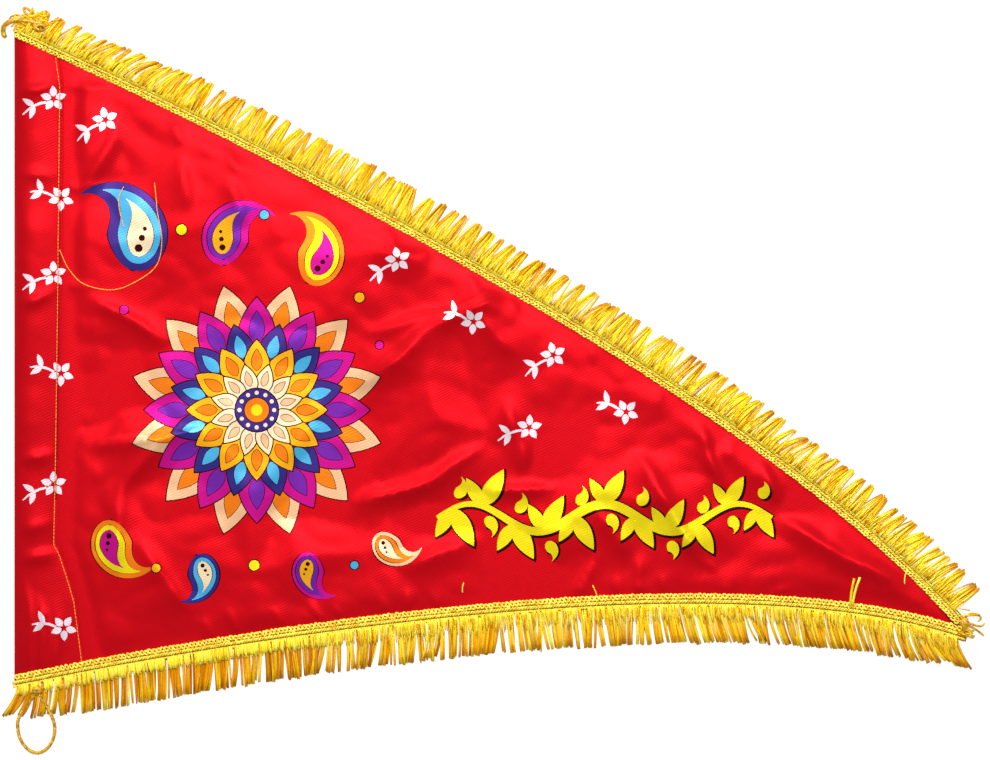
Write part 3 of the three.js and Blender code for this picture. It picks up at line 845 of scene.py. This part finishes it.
# polyester film, coated in gold and slit: smooth and glossy, with fine rubs along each strand
film, film_tree, film_shader = new_material("slit_gold_film", Roughness=0.24, Metallic=0.08)
film_shader.inputs["Specular IOR Level"].default_value = 0.7
film_shader.inputs["Specular Tint"].default_value = linear("#ffd84a")
film_read = add_node(film_tree, "ShaderNodeAttribute", attribute_name="film")
film_coords = add_node(film_tree, "ShaderNodeTexCoord")
rub = add_node(
    film_tree, "ShaderNodeTexNoise", {"Vector": film_coords.outputs["Object"]}, in_Scale=420.0,
    in_Detail=2.0,
)
rub_tone = add_node(film_tree, "ShaderNodeMapRange", {"Value": rub.outputs["Fac"]}, in_3=0.8, in_4=1.05)
rubbed = add_node(
    film_tree, "ShaderNodeVectorMath", {0: film_read.outputs["Color"], "Scale": rub_tone.outputs["Result"]},
    operation="SCALE",
)
crinkle = add_node(
    film_tree, "ShaderNodeBump", {"Height": rub.outputs["Fac"]}, in_Strength=0.4, in_Distance=0.3 * MM,
)
film_tree.links.new(rubbed.outputs["Vector"], film_shader.inputs["Base Color"])
film_tree.links.new(crinkle.outputs["Normal"], film_shader.inputs["Normal"])


def add_ribbon(bm, layer, start, control, end, width, roll, colours, segments=4, point=0):
    """One strand along a bent path; its colour runs from the first of colours to the second,
    and point is how far it narrows to its end."""
    made = bmesh.ops.create_grid(bm, x_segments=segments, y_segments=1, size=1)["verts"]
    shares = {}
    for vert in made:
        share, edge = (vert.co.x + 1) / 2, vert.co.y
        place = start * (1 - share) ** 2 + control * 2 * share * (1 - share) + end * share**2
        ahead = ((control - start) * (1 - share) + (end - control) * share).normalized()
        across = ahead.cross(Vector((0, 0, 1))).normalized()
        up = across.cross(ahead)
        turn = roll[0] + (roll[1] - roll[0]) * share
        half = edge * width / 2 * (1 - point * share)
        vert.co = (place + (across * math.cos(turn) + up * math.sin(turn)) * half) * MM
        vert.co.z = max(vert.co.z, 0.00012)
        shares[vert] = share
    for face in {face for vert in made for face in vert.link_faces}:
        for loop in face.loops:
            share = shares[loop.vert]
            loop[layer] = [a + (b - a) * share for a, b in zip(*colours)]


def film_colour(chooser, root_weights, tip_weights):
    """The colours of a strand's root and tip, each a mix of two of the film's."""
    ends = []
    for weights in (root_weights, tip_weights):
        first, second = chooser.choices(list(FILM.values()), weights=weights, k=2)
        share = chooser.uniform(0, 0.5)
        dim = chooser.uniform(0.88, 1.08)
        mixed = [(a + (b - a) * share) * dim for a, b in zip(first, second)]
        ends.append(mixed[:3] + [1])
    return ends


def heading(degrees):
    return Vector((math.cos(math.radians(degrees)), math.sin(math.radians(degrees)), 0))


FILM_GAUGE = 0.12


def thicken(made):
    """Gives the film strands their gauge, which is drawn thicker than real film so that it shows."""
    thickness = made.modifiers.new("thickness", "SOLIDIFY")
    thickness.thickness = FILM_GAUGE * MM
    thickness.offset = 0


# how often each of the film's five colours comes up, from pale to brown; the pale roots and header are
# painted light and the brown roots painted shade
LIT_ROOT, SHADED_ROOT, BAND_ROOT = (6, 6, 1, 0.2, 0), (0, 0.6, 2, 4, 4), (7, 6, 0.8, 0.2, 0)
LIGHT_TIP, MIXED_TIP, DARK_TIP = (2, 6, 4, 1.5, 0.4), (0.6, 3, 4, 3, 1.5), (0, 0.8, 4, 5, 3)


def strands(
    name, edge, side, start, end, node, reach, lay, tuft, gather, trim, density, width, tips, header, blunt,
):
    """One fringe's film: tuft is how wide the tufts are, gather how far each closes to its tip, trim how
    even it is cut, header how far the folded roots reach over it, blunt where they stop being cut square."""
    chooser = random.Random(name)
    bm = bmesh.new()
    layer = bm.loops.layers.float_color.new("film")
    length = edge[1][-1]
    at = start
    while at < end:
        spread = chooser.uniform(*tuft)
        middle = at + spread / 2
        wedge = smooth(middle / length, blunt - 0.1, blunt + 0.1)
        hub, ahead, _, _ = edge_place(edge, side, middle, 0)
        lean = heading(table_value(lay, middle / length) + chooser.gauss(0, 5))
        tip = hub + lean * table_value(reach, middle / length) * chooser.uniform((1 + trim) / 2, 1.03)
        narrow = chooser.uniform(*gather)
        tuft_tip = chooser.choice(tips)
        for _ in range(round(spread * density)):
            offset = chooser.uniform(-0.58, 0.58) * spread
            root, _, out, top = edge_place(edge, side, middle + offset, 0.3)
            level = chooser.random()
            stray = Vector((chooser.gauss(0, 0.5), chooser.gauss(0, 0.4), 0))
            cut = root.lerp(tip + ahead * offset * narrow + stray, chooser.uniform(trim, 1.0))
            run = (cut - root).length * chooser.uniform(0.35, 0.6)
            bend = root + (out * 0.35 + lean * 0.65).normalized() * run
            bend.z = top + 0.9 + level * 1.7
            root.z = top + 0.5 + level
            cut.z = 0.3 + level * 2.4
            # painted light and shade by height: strands high in the fringe get pale roots, those beneath get
            # brown ones
            root_weights = LIT_ROOT if level > 0.4 and chooser.random() < wedge else SHADED_ROOT
            tip_weights = tuft_tip if chooser.random() < 0.75 else MIXED_TIP
            colours = film_colour(chooser, root_weights, tip_weights)
            roll = (chooser.gauss(0, 0.3), chooser.gauss(0, 0.5))
            add_ribbon(bm, layer, root, bend, cut, chooser.uniform(*width), roll, colours)
        for _ in range(round(spread * 1.05)):
            offset = chooser.uniform(-0.52, 0.52) * spread
            root, _, out, top = edge_place(edge, side, middle + offset, -1.9)
            reach_out = chooser.uniform(*header) * (1 + chooser.uniform(0, 0.7) * wedge)
            cut = root + (out * 0.9 + lean * (0.35 + 0.5 * wedge)).normalized() * reach_out
            bend = root + out * reach_out * 0.5
            root.z, bend.z, cut.z = top + 1.7, top + 3.2, top + chooser.uniform(1.9, 2.9)
            colours = film_colour(chooser, BAND_ROOT, LIGHT_TIP if wedge > 0.5 else BAND_ROOT)
            roll = (chooser.gauss(0, 0.25), chooser.gauss(0, 0.4))
            add_ribbon(bm, layer, root, bend, cut, chooser.uniform(1.2, 2.6), roll, colours, 3, 0.75 * wedge)
        # narrow dark strips between the roots: painted shade for the shadowed folds there
        for _ in range(round(spread * 0.42 * wedge)):
            offset = chooser.uniform(-0.5, 0.5) * spread
            root, _, out, top = edge_place(edge, side, middle + offset, 0.4)
            cut = root + (out * 0.6 + lean * 0.6).normalized() * chooser.uniform(3, 8)
            bend = (root + cut) / 2
            root.z, bend.z, cut.z = top + 3.0, top + 3.3, top + 2.9
            colours = film_colour(chooser, SHADED_ROOT, MIXED_TIP)
            add_ribbon(bm, layer, root, bend, cut, chooser.uniform(0.5, 1.0), (0, 0), colours, 2, 0.8)
        at += spread * 0.96
    made = object_from(bm, name, film)
    thicken(made)
    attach(made, "root")
    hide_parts(node)


# the way that the strands lie, in degrees, and how far they reach, by the share along the edge
UPPER_LAY = [(0, 62), (0.05, 36), (0.1, 30), (0.16, 48), (0.35, 55), (0.55, 46), (0.8, 38), (1, 36)]
LOWER_LAY = [
    (0, -128), (0.03, -98), (0.08, -91), (0.5, -89), (0.66, -84), (0.78, -77), (0.93, -76), (1, -64),
]
UPPER_REACH = [(0, 20), (0.1, 27.5), (0.3, 28), (1, 26.5)]
LOWER_REACH = [(0, 27), (0.1, 31.5), (0.45, 31), (0.8, 30), (0.96, 30), (1, 27)]
strands(
    "upper_strands", UPPER_EDGE, 1, 8, UPPER_EDGE[1][-1] * 0.985, "upper_fringe", UPPER_REACH, UPPER_LAY,
    tuft=(7, 14), gather=(0.25, 0.55), trim=0.93, density=1.2, width=(1.1, 2.1),
    tips=(LIGHT_TIP, MIXED_TIP, DARK_TIP), header=(6, 10), blunt=0,
)
strands(
    "lower_strands", LOWER_EDGE, -1, 2, LOWER_EDGE[1][-1] * 0.984, "lower_fringe", LOWER_REACH, LOWER_LAY,
    tuft=(5, 11), gather=(0.8, 1.06), trim=0.96, density=0.85, width=(1.5, 2.7),
    tips=(MIXED_TIP, DARK_TIP, DARK_TIP), header=(7.5, 11), blunt=0.33,
)

# Strands out of line
# A crumpled bunch of film round the top knot, and a few strands of the lower fringe that
# lie turned up over the cloth.
bunch_bm = bmesh.new()
bunch_layer = bunch_bm.loops.layers.float_color.new("film")
bunch_chooser = random.Random(21)
# how each loose strand rolls over from its root to its tip
CURLED = (0.3, -0.4)
for i in range(90):
    middle = Vector((-370 + bunch_chooser.gauss(0, 6), 284.5 + bunch_chooser.gauss(0, 3.2), 0))
    way = heading(bunch_chooser.choice((20, 60, 150, 200, 330)) + bunch_chooser.gauss(0, 25))
    half = bunch_chooser.uniform(3, 7)
    low, high = bunch_chooser.uniform(3, 6), bunch_chooser.uniform(6.5, 10.5)
    start, end = middle - way * half + Vector((0, 0, low)), middle + way * half + Vector((0, 0, low))
    side_step = Vector((-way.y, way.x, 0)) * bunch_chooser.gauss(0, 2.5)
    bend = middle + side_step + Vector((0, 0, high))
    colours = film_colour(bunch_chooser, LIGHT_TIP, MIXED_TIP)
    width = bunch_chooser.uniform(1, 2.2)
    add_ribbon(bunch_bm, bunch_layer, start, bend, end, width, CURLED, colours)
for i in range(14):
    start = Vector((bunch_chooser.gauss(373, 2.5), bunch_chooser.gauss(-194, 4.5), 5.4))
    way = heading(bunch_chooser.gauss(-8, 26))
    end = start + way * bunch_chooser.uniform(7, 15)
    bend = (start + end) / 2 + Vector((bunch_chooser.gauss(0, 1.5), bunch_chooser.gauss(0, 1.5), 2.2))
    end.z = bunch_chooser.uniform(0.4, 2.6)
    colours = film_colour(bunch_chooser, MIXED_TIP, MIXED_TIP)
    width = bunch_chooser.uniform(1, 1.8)
    add_ribbon(bunch_bm, bunch_layer, start, bend, end, width, CURLED, colours)
for x1, y1, x2, y2, width, bow in [
    (284, -182, 287, -158.4, 1.9, 1.5), (285.5, -182, 291.5, -157.6, 1.9, 2),
    (328.4, -154, 327.4, -163, 0.9, 1), (78, -164, 82.4, -176, 0.9, -1), (-25, -162, -26, -170, 0.9, 1),
]:
    start, end = Vector((x1, y1, 0)), Vector((x2, y2, 0))
    bend = (start + end) / 2 + Vector((-bow, 0, 0))
    for point, rise in ((start, 1.8), (bend, 1.2), (end, 0.9)):
        point.z = cloth_top(point.x, point.y) + rise
    colours = film_colour(bunch_chooser, BAND_ROOT, BAND_ROOT)
    add_ribbon(bunch_bm, bunch_layer, start, bend, end, width, (0.2, -0.2), colours)
bunch = object_from(bunch_bm, "stray_strands", film)
thicken(bunch)
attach(bunch, "root")

# Stitching and loose thread
# The sleeve is sewn down with one line of pale orange thread in 3 mm stitches. A loose end of
# the same thread lies in a loop on the cloth.

# cotton sewing thread, twisted and dull, with lighter fibres along it
orange_thread = spun(new_material("cotton_sewing_thread", Roughness=0.6), "#ffb43c", "#ee8a1e", 1.4, 0.1)
SEAM_TOP, SEAM_FOOT = 258, -226
STITCH, STITCH_STEP = 2.2, 2.9
stitch_lines = []
seam_y = SEAM_TOP
while seam_y > SEAM_FOOT:
    ends = []
    for y in (seam_y, seam_y - STITCH):
        x = HOIST + table_value(SLEEVE_WIDTH, y)
        ends.append(Vector((x, y, cloth_top(x, y) - 0.1)))
    middle = (ends[0] + ends[1]) / 2 + Vector((0, 0, 0.25))
    stitch_lines.append([ends[0], middle, ends[1]])
    seam_y -= STITCH_STEP
stitches = tubes("sleeve_stitches", stitch_lines, 0.27, orange_thread)


def laid_on_cloth(points, rise):
    spots = through([(x, y, 0) for x, y in points], 8)
    return [Vector((p.x, p.y, cloth_top(p.x, p.y) + rise)) for p in spots]


loose = [
    laid_on_cloth([
        (-348, 104), (-340.8, 88.8), (-328.8, 76.8), (-308.8, 72), (-292, 76), (-271.2, 90.4),
        (-266, 112), (-269.6, 133.6), (-270.4, 142.4), (-272, 157.6),
    ], 0.3),
    laid_on_cloth([(-296.8, 154.4), (-300.8, 142.4), (-296.8, 122.4)], 0.3),
]
loose_thread = tubes("loose_thread", loose, 0.4, orange_thread)
sewing = joined("sewing_thread", [stitches, loose_thread])
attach(sewing, "root")

# Corner cords and knots
# The ends of the fringe's own cord: a knot with a hooked end and a small loop at the top
# of the hoist, a knot with a hanging loop at its foot, and a knot with curls at the fly tip.

# the same film, spun round a core and plied: a deeper gold, with a dull shine on each ply
cord_gold = spun(
    new_material("plied_gold_cord", Roughness=0.34, Metallic=0.15), "#dfae24", "#a8700e", 1.6, 0.25,
)


def knot(name, centre, radii, turns, radius, seed):
    """A ball of crossing cord turns."""
    chooser = random.Random(seed)
    lines = []
    for _ in range(turns):
        tilt = Matrix.Rotation(chooser.uniform(0, math.pi), 3, "Z")
        tilt = tilt @ Matrix.Rotation(chooser.uniform(0.6, 2.5), 3, "X")
        ring = []
        for i in range(19):
            turn = 2 * math.pi * i / 18
            spot = tilt @ Vector((math.cos(turn), math.sin(turn), 0))
            ring.append(Vector(centre) + Vector([a * b for a, b in zip(spot, radii)]))
        lines.append(ring)
    return tubes(name, lines, radius, cord_gold)


HOOK_ROUTE = [
    (-366, 285, 7.0), (-376, 287, 7.4), (-386, 286.5, 6.4), (-392, 283, 4.4), (-393, 277.5, 2.6),
    (-391, 273.5, 2.4),
]
SMALL_LOOP_ROUTE = [
    (-362, 286, 7.0), (-368, 292, 5.4), (-374, 297, 4.0), (-376.5, 296.6, 3.8), (-375, 293, 4.6),
    (-369, 289, 6.4), (-365, 286, 7.0),
]
hook_taper = [(0, 0.7), (0.5, 1.0), (0.9, 0.95), (1, 0.5)]
upper_tie = joined("upper_tie_cord", [
    knot("upper_knot", (-364, 282, 7.4), (4.8, 4.0, 2.4), 7, 1.1, 4),
    tubes("hook", [through(HOOK_ROUTE)], 2.2, cord_gold, 2, hook_taper),
    tubes("small_loop", [through(SMALL_LOOP_ROUTE)], 1.1, cord_gold, 2),
])
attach(upper_tie, "root")
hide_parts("upper_tie")

LOOP_ROUTE = [
    (-365.5, -246.5, 8.4), (-369.5, -254, 5.8), (-376, -262, 3.4), (-380.5, -270, 3.0), (-381.6, -277, 1.8),
    (-379.5, -287, 1.75), (-373, -295.5, 1.75), (-365, -298, 1.75), (-357.5, -294, 1.75), (-353, -286, 1.75),
    (-352, -277, 1.8), (-354.5, -268, 3.0), (-359, -259, 4.2), (-363, -252, 6.2), (-364.5, -246, 8.4),
]
loop_line = through(LOOP_ROUTE, 8)
loop_length = sum((b - a).length for a, b in zip(loop_line, loop_line[1:]))
loop = tubes("lower_loop_cord", plies(loop_line, 3, 0.78, 5.6), 0.86, cord_gold, 2)
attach(loop, "root")
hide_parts("lower_tie")
lower_knot = knot("lower_knot", (-365, -247, 8.5), (3.4, 2.8, 2.4), 6, 0.95, 9)
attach(lower_knot, "root")
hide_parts("lower_tie")
[list(p * MM) for p in loop_line[::4]]

CURL_ROUTES = [
    [(374, -191, 3.8), (380, -187, 2.2), (386, -187.5, 1.2), (388.5, -190.5, 1.2), (386, -193.2, 1.2)],
    [(375, -193, 3.8), (382, -195.4, 2.2), (388, -196.8, 1.2), (392, -194.4, 1.2)],
    [(375, -195, 3.8), (382, -198, 2.0), (388, -202, 1.2), (391, -204.5, 1.2)],
]
tip_tie = joined("tip_tie_cord", [
    knot("tip_knot", (375, -195, 4.6), (3.2, 4.4, 2.2), 7, 0.9, 2),
    tubes(
        "curls", [through(route) for route in CURL_ROUTES], 0.95, cord_gold, 2,
        [(0, 1), (0.8, 1), (1, 0.6)],
    ),
])
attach(tip_tie, "root")
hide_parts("tip_tie")
